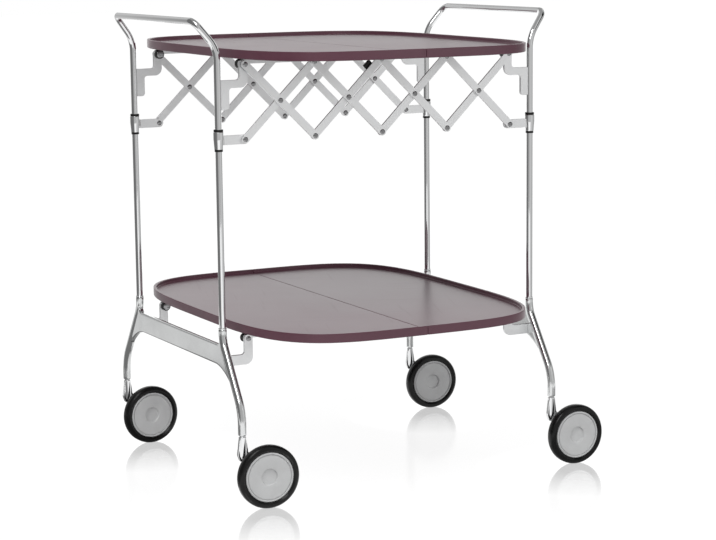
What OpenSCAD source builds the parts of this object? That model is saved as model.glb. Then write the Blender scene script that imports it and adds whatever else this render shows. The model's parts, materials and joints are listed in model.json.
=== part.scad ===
// Folding serving trolley, in millimetres.
// X runs from the left end frame to the right one, Y runs from the front to the rear, Z is up.
// The origin lies on the floor, under the middle of the whole trolley with its castors.

/* [End frames] */
// Distance between the left and the right posts
frame_length = 551; // [530:1:600]
// Distance between the front and the rear posts
frame_depth = 344; // [320:1:400]
// Outer diameter of the handle tube
tube_d = 10.5; // [9:0.5:11]
// Wall of the handle tube
tube_wall = 1.5; // [1:0.1:2.5]
// Height of the grip, at the middle of the tube
grip_height = 733; // [725:0.5:760]
// How far below the grip the posts begin to lean outwards
lean_rise = 41.5; // [35:0.5:49]
// How far the grip stands outside the posts
grip_out = 32.5; // [20:0.5:45]
// How far each end of the grip is drawn in from its post
grip_in = 9.5; // [5:0.5:20]
// Middle radius of the bend from the post to the leaning arm
lean_bend_r = 50; // [36:1:60]
// Middle radius of the bend at each end of the grip
grip_bend_r = 16.5; // [12:0.5:22]

/* [End castings] */
// Height of the top of the cast legs
casting_top = 264.5; // [262:0.5:270]
// Diameter of the cast legs
leg_d = 13; // [12.5:0.5:15]
// Distance between the front and the rear castor stems
stem_depth = 480; // [460:1:520]
// Height of the corner of the leg's upper bend
leg_upper_corner = 245.5; // [243:0.5:248]
// Height of the corner of the leg's lower bend
leg_lower_corner = 148; // [140:0.5:152]
// Middle radius of the leg's upper bend
leg_upper_bend_r = 40; // [30:1:45]
// Middle radius of the leg's lower bend
leg_lower_bend_r = 70; // [50:1:75]
// Height of the lower end of the legs
leg_end = 111.5; // [111:0.5:114]
// Depth of the socket that holds the post
post_socket = 8; // [6:0.5:9]
// Thickness of the web between the legs
web_t = 8; // [6:0.5:10]
// Height of the web's top edge
web_top = 239; // [234:0.5:240]
// Height of the web's bottom edge
web_bottom = 207; // [200:0.5:210]
// Radius of the arches under the web
arch_r = 85; // [60:1:90]
// Radius of the web's upper corners
web_corner_r = 10; // [6:0.5:12]
// Height of the ring nut that closes each socket
nut_h = 2; // [1.5:0.1:5]
// Diameter of the ring nut
nut_d = 13; // [12.5:0.1:16]

/* [Trays] */
// Length of a tray, from one end frame towards the other
tray_length = 489; // [480:1:492]
// Depth of a tray, from front to rear
tray_depth = 648; // [600:1:660]
// Squareness of the tray's outline, where 2 is an ellipse
tray_power = 4; // [3.5:0.1:5]
// Height of the tray's rim from its lower to its upper edge
tray_rim_h = 14; // [12:0.5:18]
// Thickness of the tray's floor
tray_floor_t = 8; // [6:0.5:9]
// Width of the raised lip
lip_w = 4.5; // [3:0.5:6]
// Gap of the seam between the halves of a tray
seam_gap = 0.4; // [0.3:0.1:0.8]
// Height of the underside of the top tray
top_tray_height = 675; // [672:0.5:678]
// Height of the underside of the lower tray
low_tray_height = 253.5; // [252:0.5:262]
// Height of a tray's underside above its hinge pins
hinge_drop = 7.8; // [7.5:0.1:8.5]

/* [Brackets and rails] */
// Distance between the left and the right hinge pins of a tray
pivot_span = 466.6; // [460:0.1:468]
// Thickness of the bracket plates and the collar arms
plate_t = 5; // [4:0.5:6]
// Width of the upright of a bracket
riser_w = 14; // [12:0.5:14.4]
// Height of the top bracket's cross arm
arm_h = 12; // [10:0.5:14]
// Distance from the hinge pin down to the lower edge of the top bracket's cross arm
arm_drop = 35.2; // [34:0.1:38]
// Height of the foot that is welded to the post
foot_h = 45; // [35:1:50]
// How far the foot reaches from the post
foot_reach = 13; // [10:0.5:15]
// Radius of the bracket's outer corner
bracket_round_r = 12; // [8:0.5:12]
// Radius of the bracket's inner corners
bracket_fillet_r = 5; // [3:0.5:6]
// Distance from the lower hinge pin down to the lower edge of its bracket
low_bracket_drop = 40; // [36:0.5:41]
// Height of the lower bracket's cross arm
low_arm_h = 16; // [12:0.5:18]
// Thickness of the hinge rails under the trays
rail_t = 3; // [2.5:0.5:4]
// Width of the rail's flange under the tray
rail_flange_w = 16; // [12:1:24]
// Thickness of the rail's flange
rail_flange_t = 2.5; // [2:0.1:3]
// Radius of the rail's ears round the hinge pins
ear_r = 6.5; // [5:0.1:7]
// Length of the black bush beside each outer hinge pin
bush_l = 8; // [6:0.5:12]
// Radius of the black bush
bush_r = 7.4; // [6.5:0.1:7.4]

/* [Scissor linkages] */
// Height of a cross, from its lower joints to its upper joints
cross_h = 113.8; // [105:0.1:120]
// Width of a bar
bar_w = 12; // [10:0.5:12.5]
// Thickness of a bar
bar_t = 3; // [2.5:0.5:4]
// Diameter of the hinge pins and rivets
pin_d = 5; // [4:0.5:5.5]
// Diameter of the pin and rivet heads
head_d = 8; // [7:0.5:9]
// Diameter of the washer heads inside the bushes of the tray hinges
washer_d = 12; // [10:0.5:14]
// Height of the pin and rivet heads
head_h = 1.5; // [1:0.5:2]
// Length of the black buffer on a bar
buffer_l = 14; // [10:1:18]
// Thickness of the buffer
buffer_t = 4.2; // [3:0.1:4.4]
// How far the buffer stands out past the edge of its bar
buffer_out = 7; // [4:0.5:8]
// Distance of the buffer's middle from the joint beside it
buffer_from_joint = 21; // [18:1:28]

/* [Sliding collars] */
// Height of a collar with its two rings
collar_h = 33.5; // [30:0.5:40]
// Largest diameter of the collar
collar_d = 16; // [15:0.5:18]
// Diameter of the collar at its lower end
collar_low_d = 13.4; // [13:0.1:15]
// Height of the black ring at each end of the collar
ring_h = 3.5; // [2.5:0.5:5]
// Diameter of the upper black ring
ring_top_d = 14.6; // [13.5:0.1:15]
// Diameter of the lower black ring
ring_low_d = 12.6; // [12.5:0.1:13]
// Height of the flat arm on the collar
collar_arm_h = 14; // [12:0.5:16]

/* [Castors] */
// Distance between the left and the right castor stems
stem_length = 552; // [530:1:600]
// Direction in which the front left castor trails, turned from X
front_left_angle = -4; // [-30:1:30]
// Direction in which the rear left castor trails
rear_left_angle = 4; // [-30:1:30]
// Direction in which the front right castor trails
front_right_angle = -1; // [-30:1:30]
// Direction in which the rear right castor trails
rear_right_angle = -3; // [-30:1:30]
// Distance from the stem back to the axle
trail = 33; // [28:0.5:40]
// Distance from the stem sideways to the middle of the wheel
wheel_side = 20; // [18:0.1:23]
// Diameter of the wheel over its tyre
wheel_d = 98; // [96:1:102]
// Diameter of the wheel disc, which carries the tyre
disc_d = 77; // [70:1:82]
// Width of the tyre
tyre_w = 19; // [18:0.5:21.5]
// Radius of the tyre's rounded shoulders
shoulder_r = 7.5; // [4:0.5:9]
// Thickness of the wheel disc at its edge
disc_w = 17; // [14:0.5:18]
// Width of the raised ring round the wheel disc
disc_ring_w = 3; // [2:0.5:5]
// Depth of the dish inside that ring
dish_depth = 1; // [0.5:0.1:2]
// Radius of the round recess in the middle of the disc
recess_r = 13; // [8:0.5:16]
// Depth of that recess
recess_depth = 1.5; // [0.5:0.1:2]
// Thickness of the web of the disc
disc_web_t = 6; // [4:0.5:8]
// Diameter of the axle
axle_d = 8; // [6:0.5:10]
// Diameter of the hub round the axle
hub_d = 18; // [14:0.5:22]
// Diameter of the castor stem
stem_d = 8; // [6:0.5:8.5]
// Length of the stem inside the leg
stem_l = 22; // [16:1:24]
// Diameter of the fork's neck
neck_d = 11.5; // [10:0.5:13]
// Length of the neck, down to where it tapers
neck_l = 30; // [24:1:34]
// Length of the neck's taper
neck_taper = 10; // [6:1:14]
// Thickness of the fork arm
fork_t = 6; // [5:0.5:8]
// Radius of the fork arm's shoulder
fork_shoulder_r = 8.5; // [7:0.5:10]
// Distance from the top of the fork down to the middle of the shoulder
fork_shoulder_drop = 28; // [24:1:32]
// Distance from the top of the fork down to the shoulder's tip
fork_tip_drop = 39; // [36:1:44]
// Radius of that tip
fork_tip_r = 4; // [2:0.5:6]
// Radius of the fork arm round the axle
fork_end_r = 9; // [8:0.5:12]

/* [Clearances] */
// Play between a pin or shaft and its hole, on the radius
running_play = 0.05; // [0.03:0.01:0.1]
// Gap between flat plates that turn on each other
plate_gap = 0.3; // [0.2:0.05:0.5]
// Gap under a pin head
head_gap = 0.1; // [0.05:0.05:0.2]
// Gap round the post inside the collar barrel
barrel_play = 0.3; // [0.2:0.05:0.5]
// Gap between the leg and the fork below it
fork_gap = 1.5; // [1:0.1:2]
// Length of the seam where a bend meets a straight run
seam_l = 1; // [0.5:0.1:2]
// Height of that seam above the bar's surface
seam_rise = 0.1; // [0.05:0.01:0.2]

/* [Hidden] */
$fn = 48;
// Points on a rounded corner, and the flat left at the middle of a full round end
arc_steps = 8;
end_flat = 0.2;

post_x = frame_length / 2;
post_y = frame_depth / 2;
stem_x = stem_length / 2;
stem_y = stem_depth / 2;
tube_r = tube_d / 2;
leg_r = leg_d / 2;
pin_r = pin_d / 2;
hole_r = pin_r + running_play;
head_r = head_d / 2;
pivot_x = pivot_span / 2;
lean_height = grip_height - lean_rise;
top_pivot_z = top_tray_height - hinge_drop;
low_pivot_z = low_tray_height - hinge_drop;
wheel_r = wheel_d / 2;

// Distances from the middle plane of the trolley out to the layers of the linkage
plate_in = post_y - plate_t / 2;
plate_out = post_y + plate_t / 2;
near_in = plate_out + plate_gap;
near_out = near_in + bar_t;
far_in = near_out + plate_gap;
far_out = far_in + bar_t;
rail_out = plate_in - plate_gap;
rail_in = rail_out - rail_t;
step_out = rail_in - plate_gap;
step_in = step_out - rail_t;
bush_in = rail_in - bush_l;

// Joints of the linkage, numbered from the left: 0 to crosses
crosses = 4;
cross_w = pivot_span / crosses;
low_joint_z = top_pivot_z - cross_h;
function joint_x(i) = -pivot_x + i * cross_w;
function upper_joint(i) = [joint_x(i), top_pivot_z];
function lower_joint(i) = [joint_x(i), low_joint_z];
function crossing(i) = (upper_joint(i - 1) + lower_joint(i)) / 2;

// Slope of the straight part of a leg, and the distance from its middle line to the web's edge,
// which lies just inside the leg
seat_lap = 0.8;
leg_slope = atan((stem_y - post_y) / (leg_upper_corner - leg_lower_corner));
web_seat = sqrt(leg_r * leg_r - web_t * web_t / 4) - seat_lap;

// The collar on the post, around the height of the lower joints
collar_low = low_joint_z - collar_h / 2;
collar_high = low_joint_z + collar_h / 2;

// The fork hangs under the leg, and the wheel stands on the floor
fork_top = leg_end - fork_gap;
disc_face = wheel_side + disc_w / 2;
disc_back = wheel_side - disc_w / 2;
axle_end = disc_face - disc_web_t + 1;

// How far a castor reaches along X from its stem when it trails in the direction a
function castor_reach(a) = (trail + wheel_r - shoulder_r) * cos(a) + wheel_side * sin(a)
    + (tyre_w / 2 - shoulder_r) * abs(sin(a)) + shoulder_r;

// The trolley reaches further to the right, because the castors trail that way
reach_left = post_x + grip_out + tube_r + seam_rise;
reach_right = stem_x + max(castor_reach(front_right_angle), castor_reach(rear_right_angle));
middle_x = (reach_right - reach_left) / 2;

chrome = [0.80, 0.81, 0.82];
satin = [0.70, 0.71, 0.71];
steel = [0.62, 0.62, 0.62];
plum = [0.36, 0.24, 0.28];
black = [0.06, 0.06, 0.06];
pale_grey = [0.70, 0.71, 0.71];

// Vectors and bent bars

function unit(v) = v / norm(v);
function turn(a, b) = acos(max(-1, min(1, a * b)));
function way(p, i) = unit(p[i + 1] - p[i]);
function corner_trim(p, radii, i) =
    i < 1 || i > len(p) - 2 ? 0 : radii[i - 1] * tan(turn(way(p, i - 1), way(p, i)) / 2);

module ring_section(d, wall) {
    difference() {
        circle(d = d);
        if (wall > 0)
            circle(d = d - 2 * wall);
    }
}

// Straight stretch from corner i to the next one, short of the bends by half a seam at each end
module straight_run(p, i, radii, d, wall) {
    v = way(p, i);
    start = p[i] + v * (i == 0 ? 0 : corner_trim(p, radii, i) + seam_l / 4);
    end = p[i + 1] - v * (i == len(p) - 2 ? 0 : corner_trim(p, radii, i + 1) + seam_l / 4);
    translate(start)
        rotate([0, acos(v[2]), atan2(v[1], v[0])])
            linear_extrude(norm(end - start))
                ring_section(d, wall);
}

// The bend at corner i, with a thin seam at each end that laps onto the straight runs
module bend_run(p, i, radii, d, wall) {
    r = radii[i - 1];
    v = way(p, i - 1);
    angle = turn(v, way(p, i));
    side = unit(way(p, i) - v * cos(angle));
    axis = cross(v, side);
    centre = p[i] - v * corner_trim(p, radii, i) + side * r;
    multmatrix([
        [-side[0], v[0], axis[0], centre[0]],
        [-side[1], v[1], axis[1], centre[1]],
        [-side[2], v[2], axis[2], centre[2]],
        [0, 0, 0, 1]]) {
        rotate_extrude(angle = angle)
            translate([r, 0])
                ring_section(d, wall);
        for (a = [0, angle])
            rotate([0, 0, a])
                translate([r, 0, 0])
                    rotate([90, 0, 0])
                        linear_extrude(seam_l, center = true)
                            ring_section(d + 2 * seam_rise, wall > 0 ? wall + 2 * seam_rise : 0);
    }
}

// A round bar, or a tube where wall is above zero, along the points p with a bend at each corner
module bent_bar(p, radii, d, wall = 0) {
    for (i = [0:len(p) - 2])
        straight_run(p, i, radii, d, wall);
    for (i = [1:len(p) - 2])
        bend_run(p, i, radii, d, wall);
}

// Plates in the XZ plane

// Points of a closed outline with its corners p rounded to the radii r, where 0 leaves a corner sharp
function rounded(p, r) = [
    for (i = [0:len(p) - 1])
        let (u = unit(p[(i + len(p) - 1) % len(p)] - p[i]),
            v = unit(p[(i + 1) % len(p)] - p[i]),
            half = turn(u, v) / 2,
            centre = p[i] + unit(u + v) * (r[i] / sin(half)),
            a = p[i] + u * (r[i] / tan(half)) - centre,
            b = p[i] + v * (r[i] / tan(half)) - centre)
        each r[i] == 0 ? [p[i]] :
            [for (k = [0:arc_steps]) centre + unit(a + (b - a) * k / arc_steps) * r[i]]
];

// Extrudes a shape in X and Z to a plate between two distances from the middle plane
module plate(y_in, y_out) {
    translate([0, -y_in, 0])
        rotate([90, 0, 0])
            linear_extrude(y_out - y_in)
                children();
}

// A pin or rivet on the axis at p: steps are [from, to, radius], measured out from the middle plane
module stepped_pin(p, steps) {
    translate([p[0], 0, p[1]])
        rotate([90, 0, 0])
            for (s = steps)
                translate([0, 0, s[0]])
                    cylinder(r = s[2], h = s[1] - s[0]);
}

module front_and_rear() {
    children();
    mirror([0, 1, 0])
        children();
}

// The mirror image for the right side, or the shape as it is for the left side
module on_side(left) {
    if (left)
        children();
    else
        mirror([1, 0, 0])
            children();
}

// End frames

module cast_leg() {
    bent_bar([[-post_x, -post_y, casting_top], [-post_x, -post_y, leg_upper_corner],
        [-stem_x, -stem_y, leg_lower_corner], [-stem_x, -stem_y, leg_end]],
        [leg_upper_bend_r, leg_lower_bend_r], leg_d);
}

// The web reaches into the legs: at its corners its outline follows each leg's inner side, web_seat
// inside the leg's middle line
module web_outline() {
    slope_y = tan(leg_slope);
    function leg_y(z) = post_y + (leg_upper_corner - z) * slope_y;
    inner_y = leg_y(web_bottom) - web_seat / cos(leg_slope);
    arch_end = arch_r / tan(45 + leg_slope / 2);
    low_z = web_bottom - (arch_end + 1) * cos(leg_slope);
    high_z = web_top + web_corner_r + 1;
    top_y = post_y - web_seat;
    polygon(rounded(
        [[top_y, web_top], [top_y, high_z], [post_y, high_z], [leg_y(leg_upper_corner), leg_upper_corner],
            [leg_y(low_z), low_z], [leg_y(low_z) - web_seat / cos(leg_slope), low_z], [inner_y, web_bottom],
            [-inner_y, web_bottom], [web_seat / cos(leg_slope) - leg_y(low_z), low_z], [-leg_y(low_z), low_z],
            [-leg_y(leg_upper_corner), leg_upper_corner], [-post_y, high_z], [-top_y, high_z],
            [-top_y, web_top]],
        [web_corner_r, 0, 0, 0, 0, 0, arch_r, arch_r, 0, 0, 0, 0, 0, web_corner_r]));
}

module end_casting(left) {
    color(satin)
        on_side(left)
            difference() {
                union() {
                    front_and_rear()
                        cast_leg();
                    translate([-post_x - web_t / 2, 0, 0])
                        rotate([90, 0, 90])
                            linear_extrude(web_t)
                                web_outline();
                }
                front_and_rear() {
                    translate([-post_x, -post_y, casting_top - post_socket])
                        cylinder(r = tube_r + running_play, h = post_socket + 1);
                    translate([-stem_x, -stem_y, leg_end - 1])
                        cylinder(r = stem_d / 2 + running_play, h = stem_l + 2);
                }
            }
}

module handle_tube(left) {
    foot_z = casting_top - post_socket;
    grip_y = post_y - grip_in;
    grip_x = -post_x - grip_out;
    color(chrome)
        on_side(left)
            bent_bar([[-post_x, -post_y, foot_z], [-post_x, -post_y, lean_height],
                [grip_x, -grip_y, grip_height], [grip_x, grip_y, grip_height],
                [-post_x, post_y, lean_height], [-post_x, post_y, foot_z]],
                [lean_bend_r, grip_bend_r, grip_bend_r, lean_bend_r], tube_d, tube_wall);
}

module ring_nuts(left) {
    bevel = nut_h / 4;
    bore = tube_r + running_play;
    color(chrome)
        on_side(left)
            front_and_rear()
                translate([-post_x, -post_y, casting_top])
                    rotate_extrude()
                        polygon([[bore, 0], [nut_d / 2, 0], [nut_d / 2, nut_h - bevel],
                            [nut_d / 2 - bevel, nut_h], [bore, nut_h]]);
}

// The upright of a bracket with its round end, and the arm from it to the points in rest.
// The round end keeps a narrow flat at its top.
module bracket_outline(pivot_z, low_z, height, rest, rest_radii) {
    half = riser_w / 2;
    end_r = half - end_flat / 2;
    difference() {
        polygon(rounded(
            concat([[-pivot_x - half, low_z + height], [-pivot_x - half, pivot_z + half],
                [-pivot_x + half, pivot_z + half], [-pivot_x + half, low_z]], rest),
            concat([bracket_fillet_r, end_r, end_r, bracket_round_r], rest_radii)));
        translate([-pivot_x, pivot_z])
            circle(hole_r);
    }
}

module top_brackets(left) {
    arm_z = top_pivot_z - arm_drop;
    foot_x = -post_x + tube_r + foot_reach;
    foot_z = arm_z + arm_h - foot_h;
    color(steel)
        on_side(left)
            front_and_rear()
                difference() {
                    plate(plate_in, plate_out)
                        bracket_outline(top_pivot_z, arm_z, arm_h,
                            [[foot_x, arm_z], [foot_x, foot_z], [-post_x, foot_z], [-post_x, arm_z + arm_h]],
                            [bracket_fillet_r, bracket_fillet_r, 0, 0]);
                    translate([-post_x, -post_y, 0])
                        cylinder(r = tube_r, h = grip_height);
                }
}

module low_brackets(left) {
    arm_z = low_pivot_z - low_bracket_drop;
    root_x = -post_x + web_t / 2;
    color(steel)
        on_side(left)
            front_and_rear()
                plate(plate_in, plate_out)
                    bracket_outline(low_pivot_z, arm_z, low_arm_h,
                        [[root_x, arm_z], [root_x, arm_z + low_arm_h]], [0, 0]);
}

// Pins of the tray hinges. A bar in the far layer stands off from the bracket on a shoulder.
module top_hinge_pin(far_bar) {
    outer = far_bar ? far_out : near_out;
    stepped_pin([-pivot_x, top_pivot_z], concat(
        [[bush_in - head_gap - head_h, bush_in - head_gap, washer_d / 2],
         [bush_in - head_gap, outer + head_gap, pin_r],
         [outer + head_gap, outer + head_gap + head_h, head_r]],
        far_bar ? [[plate_out + head_gap, far_in - head_gap, head_r]] : []));
}

module low_hinge_pin() {
    stepped_pin([-pivot_x, low_pivot_z],
        [[bush_in - head_gap - head_h, bush_in - head_gap, washer_d / 2],
         [bush_in - head_gap, plate_out + head_gap, pin_r],
         [plate_out + head_gap, plate_out + head_gap + head_h, head_r]]);
}

module left_hinge_pins_shape() {
    top_hinge_pin(true);
    mirror([0, 1, 0])
        top_hinge_pin(false);
    front_and_rear()
        low_hinge_pin();
}

module hinge_pins(left) {
    color(steel)
        rotate([0, 0, left ? 0 : 180])
            left_hinge_pins_shape();
}

// Sliding collars

module collar_shape() {
    bore = tube_r + barrel_play;
    low = collar_low + ring_h;
    high = collar_high - ring_h;
    taper = (high - low) * 0.6;
    bevel = (collar_d - ring_top_d) / 2;
    translate([-post_x, -post_y, 0])
        rotate_extrude()
            polygon([[bore, low], [collar_low_d / 2, low], [collar_d / 2, low + taper],
                [collar_d / 2, high - bevel], [ring_top_d / 2, high], [bore, high]]);
    difference() {
        plate(plate_in, plate_out)
            difference() {
                union() {
                    translate([-post_x, low_joint_z - collar_arm_h / 2])
                        square([post_x - pivot_x, collar_arm_h]);
                    translate([-pivot_x, low_joint_z])
                        circle(d = collar_arm_h);
                }
                translate([-pivot_x, low_joint_z])
                    circle(hole_r);
            }
        translate([-post_x, -post_y, collar_low])
            cylinder(r = bore, h = collar_h);
        translate([-post_x - tube_d, -post_y, low_joint_z])
            cube([tube_d * 2, tube_d, collar_h], center = true);
    }
}

module collars(left) {
    color(chrome)
        on_side(left)
            front_and_rear()
                collar_shape();
}

module collar_ring(z, d) {
    translate([-post_x, -post_y, z])
        linear_extrude(ring_h)
            difference() {
                circle(d = d);
                circle(tube_r + running_play);
            }
}

module collar_rings(left) {
    color(black)
        on_side(left)
            front_and_rear() {
                collar_ring(collar_low, ring_low_d);
                collar_ring(collar_high - ring_h, ring_top_d);
            }
}

// Scissor linkages. A falling bar goes down to the right, a rising bar goes up to the right.
// In front the rising bars lie near the brackets, and at the rear the falling bars do.

module link_outline(p, q) {
    side = [p[1] - q[1], q[0] - p[0]] * (bar_w / 2 / norm(q - p));
    difference() {
        union() {
            polygon([p + side, q + side, q - side, p - side]);
            for (c = [p, q])
                translate(c)
                    circle(d = bar_w);
        }
        for (c = [p, q, (p + q) / 2])
            translate(c)
                circle(hole_r);
    }
}

module bar_pair(p, q, near_in_front) {
    color(satin) {
        plate(near_in_front ? near_in : far_in, near_in_front ? near_out : far_out)
            link_outline(p, q);
        mirror([0, 1, 0])
            plate(near_in_front ? far_in : near_in, near_in_front ? far_out : near_out)
                link_outline(p, q);
    }
}

module falling_bar(i) {
    bar_pair(upper_joint(i - 1), lower_joint(i), false);
}

module rising_bar(i) {
    bar_pair(lower_joint(i - 1), upper_joint(i), true);
}

// A rivet through both layers of bars, in front and at the rear
module through_rivets(p) {
    front_and_rear()
        stepped_pin(p, [[near_in - head_gap - head_h, near_in - head_gap, head_r],
            [near_in - head_gap, far_out + head_gap, pin_r],
            [far_out + head_gap, far_out + head_gap + head_h, head_r]]);
}

// Half of a parted rivet: it stays in its own bar and ends at the face of the bar beside it
module near_half_rivet(p) {
    stepped_pin(p, [[near_in - head_gap - head_h, near_in - head_gap, head_r],
        [near_in - head_gap, near_out, pin_r]]);
}

module far_half_rivet(p) {
    stepped_pin(p, [[far_in, far_out + head_gap, pin_r],
        [far_out + head_gap, far_out + head_gap + head_h, head_r]]);
}

module half_rivets(p, near_in_front) {
    if (near_in_front) {
        near_half_rivet(p);
        mirror([0, 1, 0])
            far_half_rivet(p);
    } else {
        far_half_rivet(p);
        mirror([0, 1, 0])
            near_half_rivet(p);
    }
}

// A rivet from a bar through the arm of a collar
module collar_rivet(p, far_bar) {
    outer = far_bar ? far_out : near_out;
    stepped_pin(p, concat(
        [[plate_in - head_gap - head_h, plate_in - head_gap, head_r],
         [plate_in - head_gap, outer + head_gap, pin_r],
         [outer + head_gap, outer + head_gap + head_h, head_r]],
        far_bar ? [[plate_out + head_gap, far_in - head_gap, head_r]] : []));
}

module falling_rivets(i) {
    color(steel) {
        if (i == 1) {
            through_rivets(crossing(1));
            through_rivets(lower_joint(1));
        }
        if (i == 2) {
            through_rivets(crossing(2));
            half_rivets(lower_joint(2), false);
        }
        if (i == 3)
            half_rivets(upper_joint(2), false);
        if (i == 4) {
            through_rivets(upper_joint(3));
            collar_rivet(lower_joint(4), true);
            mirror([0, 1, 0])
                collar_rivet(lower_joint(4), false);
        }
    }
}

module rising_rivets(i) {
    color(steel) {
        if (i == 1) {
            through_rivets(upper_joint(1));
            collar_rivet(lower_joint(0), false);
            mirror([0, 1, 0])
                collar_rivet(lower_joint(0), true);
        }
        if (i == 2)
            half_rivets(upper_joint(2), true);
        if (i == 3) {
            through_rivets(crossing(3));
            half_rivets(lower_joint(2), true);
        }
        if (i == 4) {
            through_rivets(crossing(4));
            through_rivets(lower_joint(3));
        }
    }
}

// The buffer sits on the inner face of the second rising bar and looks over its upper edge
module bar_buffer() {
    top = upper_joint(2);
    down = unit(lower_joint(1) - top);
    up_left = [down[1], -down[0]];
    middle = top + down * buffer_from_joint;
    half = down * buffer_l / 2;
    low_edge = -up_left * bar_w / 6;
    high_edge = up_left * (bar_w / 2 + buffer_out);
    color(black)
        plate(near_in - buffer_t, near_in)
            polygon([middle - half + low_edge, middle + half + low_edge,
                middle + half + high_edge, middle - half + high_edge]);
}

// Trays

// Left half of the outline, with half axes a and b, from the rear end of the seam to its front end
function half_outline(a, b, steps) = [
    for (i = [0:steps])
        let (t = 90 + 180 * i / steps,
            r = pow(pow(abs(cos(t)) / a, tray_power) + pow(abs(sin(t)) / b, tray_power), -1 / tray_power))
        [r * cos(t), r * sin(t)]
];

module half_sheet(a, b) {
    intersection() {
        polygon(half_outline(a, b, 72));
        translate([-tray_length, -tray_depth])
            square([tray_length - seam_gap / 2, 2 * tray_depth]);
    }
}

module tray_half(left, z) {
    color(plum)
        on_side(left)
            translate([0, 0, z])
                difference() {
                    linear_extrude(tray_rim_h)
                        half_sheet(tray_length / 2, tray_depth / 2);
                    translate([0, 0, tray_floor_t])
                        linear_extrude(tray_rim_h)
                            polygon(concat(half_outline(tray_length / 2 - lip_w, tray_depth / 2 - lip_w, 72),
                                [[lip_w, -tray_depth / 2 + lip_w], [lip_w, tray_depth / 2 - lip_w]]));
                }
}

// Shape of a rail's upright, from x1 to x2 and round an ear at each of the given places
module rail_outline(x1, x2, ears, pivot_z) {
    difference() {
        union() {
            translate([x1, pivot_z])
                square([x2 - x1, hinge_drop]);
            for (x = ears)
                translate([x, pivot_z])
                    circle(ear_r);
        }
        for (x = ears)
            translate([x, pivot_z])
                circle(hole_r);
    }
}

module rail_flange(x1, x2, pivot_z) {
    translate([x1, -rail_out, pivot_z + hinge_drop - rail_flange_t])
        cube([x2 - x1, rail_flange_w, rail_flange_t]);
}

// The front rail of a left half: one plate from the outer pin to the middle pin
module plain_rail(pivot_z) {
    clear = ear_r + 1;
    plate(rail_in, rail_out)
        rail_outline(-pivot_x, 0, [-pivot_x, 0], pivot_z);
    rail_flange(-pivot_x + bush_r + 1, -clear, pivot_z);
}

// The front rail of a right half: its middle ear is stepped in, beside the other rail's ear
module stepped_rail(pivot_z) {
    clear = ear_r + 1;
    plate(rail_in, rail_out)
        rail_outline(clear, pivot_x, [pivot_x], pivot_z);
    plate(step_in, step_out)
        rail_outline(0, clear * 3, [0], pivot_z);
    rail_flange(clear, pivot_x - bush_r - 1, pivot_z);
}

module rails(left, pivot_z) {
    color(satin)
        rotate([0, 0, left ? 0 : 180]) {
            plain_rail(pivot_z);
            rotate([0, 0, 180])
                stepped_rail(pivot_z);
        }
}

module bushes(left, pivot_z) {
    color(black)
        on_side(left)
            front_and_rear()
                plate(bush_in, rail_in)
                    translate([-pivot_x, pivot_z])
                        difference() {
                            circle(bush_r);
                            circle(hole_r);
                        }
}

module middle_pins(pivot_z) {
    color(steel)
        front_and_rear()
            stepped_pin([0, pivot_z],
                [[step_in - head_gap - head_h, step_in - head_gap, head_r],
                 [step_in - head_gap, rail_out + head_gap, pin_r],
                 [rail_out + head_gap, rail_out + head_gap + head_h, head_r]]);
}

// Castors. In the castor's own frame the stem is at the origin, the wheel trails along X
// and stands to the front, along -Y.

module at_castor(left, front) {
    front_angle = left ? front_left_angle : front_right_angle;
    rear_angle = left ? rear_left_angle : rear_right_angle;
    translate([left ? -stem_x : stem_x, front ? -stem_y : stem_y, 0])
        rotate([0, 0, front ? front_angle : rear_angle])
            children();
}

// Two circles joined by their tangents
module tapered_link(p, rp, q, rq) {
    hull() {
        translate(p)
            circle(rp);
        translate(q)
            circle(rq);
    }
}

// A round neck under the leg, with a flat arm that widens to a shoulder and runs on to the axle
module fork(left, front) {
    neck_low = fork_top - neck_l;
    shoulder = [0, fork_top - fork_shoulder_drop];
    tip = [-fork_shoulder_r / 4, fork_top - fork_tip_drop + fork_tip_r];
    color(chrome)
        at_castor(left, front) {
            translate([0, 0, neck_low])
                cylinder(d = neck_d, h = neck_l);
            translate([0, 0, neck_low - neck_taper])
                cylinder(d1 = neck_d / 2, d2 = neck_d, h = neck_taper);
            translate([0, 0, fork_top])
                cylinder(d = stem_d, h = fork_gap + stem_l);
            plate(-fork_t / 2, fork_t / 2) {
                tapered_link([0, fork_top - neck_d / 2], neck_d / 2, shoulder, fork_shoulder_r);
                tapered_link(shoulder, fork_shoulder_r, tip, fork_tip_r);
                tapered_link(shoulder, fork_shoulder_r, [trail, wheel_r], fork_end_r);
            }
            stepped_pin([trail, wheel_r], [[0, axle_end, axle_d / 2]]);
        }
}

module wheel_profile() {
    r = disc_d / 2;
    bore = axle_d / 2 + running_play;
    inner = r - disc_ring_w;
    difference() {
        translate([0, disc_back])
            square([r, disc_w]);
        polygon([[recess_r + recess_depth, disc_face - dish_depth], [inner, disc_face - dish_depth],
            [inner + dish_depth, disc_face], [0, disc_face + 1], [0, disc_face - dish_depth - recess_depth],
            [recess_r, disc_face - dish_depth - recess_depth]]);
        translate([hub_d / 2, disc_back - 1])
            square([inner - hub_d / 2, disc_w - disc_web_t + 1]);
        translate([0, disc_back - 1])
            square([bore, axle_end - disc_back + 1 + head_gap]);
    }
    translate([bore, fork_t / 2 + plate_gap])
        square([hub_d / 2 - bore, disc_back - fork_t / 2 - plate_gap + 1]);
}

module wheel(left, front) {
    color(pale_grey)
        at_castor(left, front)
            translate([trail, 0, wheel_r])
                rotate([90, 0, 0])
                    rotate_extrude()
                        wheel_profile();
}

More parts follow.
